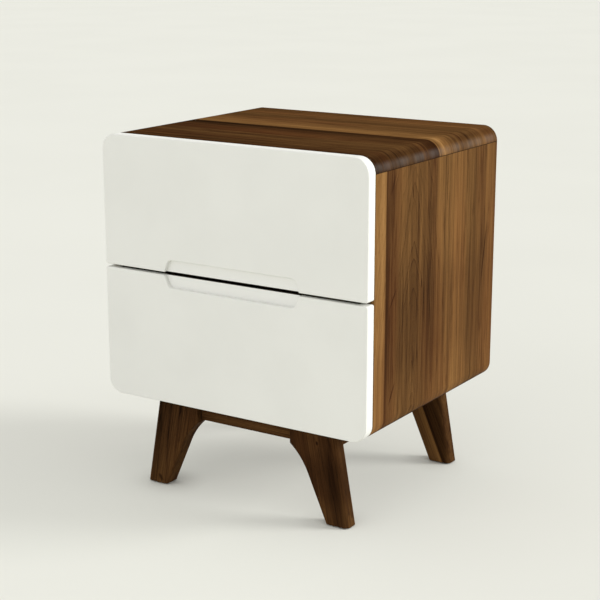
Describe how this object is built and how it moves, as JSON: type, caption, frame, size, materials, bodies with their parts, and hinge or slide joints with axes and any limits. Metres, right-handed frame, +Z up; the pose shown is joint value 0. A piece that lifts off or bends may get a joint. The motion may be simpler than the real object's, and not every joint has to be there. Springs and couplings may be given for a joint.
{
  "type": "nightstand with drawers",
  "caption": "Bedside nightstand: rounded walnut case on splayed bracket legs, white drawer fronts with a shared finger recess, drawers on telescopic runners.",
  "frame": {"origin": "on the floor, below the centre of the overall box", "axes": "+Z up, fronts face -Y, +X to the right seen from the front"},
  "size_m": [0.47, 0.3996, 0.562],
  "materials": {
    "walnut_top": "satin lacquered walnut veneer",
    "walnut_side": "satin lacquered walnut veneer",
    "walnut_under": "walnut veneer",
    "walnut_leg": "satin lacquered walnut",
    "walnut_rail": "satin lacquered walnut",
    "block_wood": "planed hardwood",
    "back_board": "walnut-faced hardboard",
    "white_lacquer": "satin off-white lacquer",
    "box_wood": "clear lacquered birch ply",
    "box_sheet": "clear lacquered birch ply",
    "zinc_runner": "zinc plated",
    "steel": "zinc plated",
    "glide_plastic": "matte",
    "bumper_rubber": "translucent"
  },
  "bodies": {
    "case": {"top_panel": "walnut_top", "left_side_panel": "walnut_side", "right_side_panel": "walnut_side", "bottom_panel": "walnut_under", "back_panel": "back_board", "front_left_leg": "walnut_leg", "front_right_leg": "walnut_leg", "back_left_leg": "walnut_leg", "back_right_leg": "walnut_leg", "front_rail": "walnut_rail", "back_rail": "walnut_rail", "left_rail": "walnut_rail", "right_rail": "walnut_rail", "front_left_corner_block": "block_wood", "front_right_corner_block": "block_wood", "back_left_corner_block": "block_wood", "back_right_corner_block": "block_wood", "base_bolts": "steel", "foot_glides": "glide_plastic", "upper_left_runner_case": "zinc_runner", "upper_right_runner_case": "zinc_runner", "lower_left_runner_case": "zinc_runner", "lower_right_runner_case": "zinc_runner"},
    "upper_drawer": {"upper_front": "white_lacquer", "upper_inner_front": "box_wood", "upper_left_box_side": "box_wood", "upper_right_box_side": "box_wood", "upper_box_back": "box_wood", "upper_box_bottom": "box_sheet", "upper_left_runner_drawer": "zinc_runner", "upper_right_runner_drawer": "zinc_runner"},
    "lower_drawer": {"lower_front": "white_lacquer", "lower_inner_front": "box_wood", "lower_left_box_side": "box_wood", "lower_right_box_side": "box_wood", "lower_box_back": "box_wood", "lower_box_bottom": "box_sheet", "lower_left_runner_drawer": "zinc_runner", "lower_right_runner_drawer": "zinc_runner"},
    "upper_middle_runners": {"upper_left_runner_middle": "zinc_runner", "upper_right_runner_middle": "zinc_runner"},
    "lower_middle_runners": {"lower_left_runner_middle": "zinc_runner", "lower_right_runner_middle": "zinc_runner"}
  },
  "joints": [
    {"name": "upper_drawer_slide", "type": "slide", "parent": "case", "child": "upper_drawer", "axis": [0, -1, 0], "range_m": [0, 0.3]},
    {"name": "upper_middle_slide", "type": "slide", "parent": "case", "child": "upper_middle_runners", "axis": [0, -1, 0], "range_m": [0, 0.15]},
    {"name": "lower_drawer_slide", "type": "slide", "parent": "case", "child": "lower_drawer", "axis": [0, -1, 0], "range_m": [0, 0.3]},
    {"name": "lower_middle_slide", "type": "slide", "parent": "case", "child": "lower_middle_runners", "axis": [0, -1, 0], "range_m": [0, 0.15]}
  ],
  "couplings": [
    {"joint": "upper_middle_slide", "follows": "upper_drawer_slide", "ratio": 0.5},
    {"joint": "lower_middle_slide", "follows": "lower_drawer_slide", "ratio": 0.5}
  ]
}
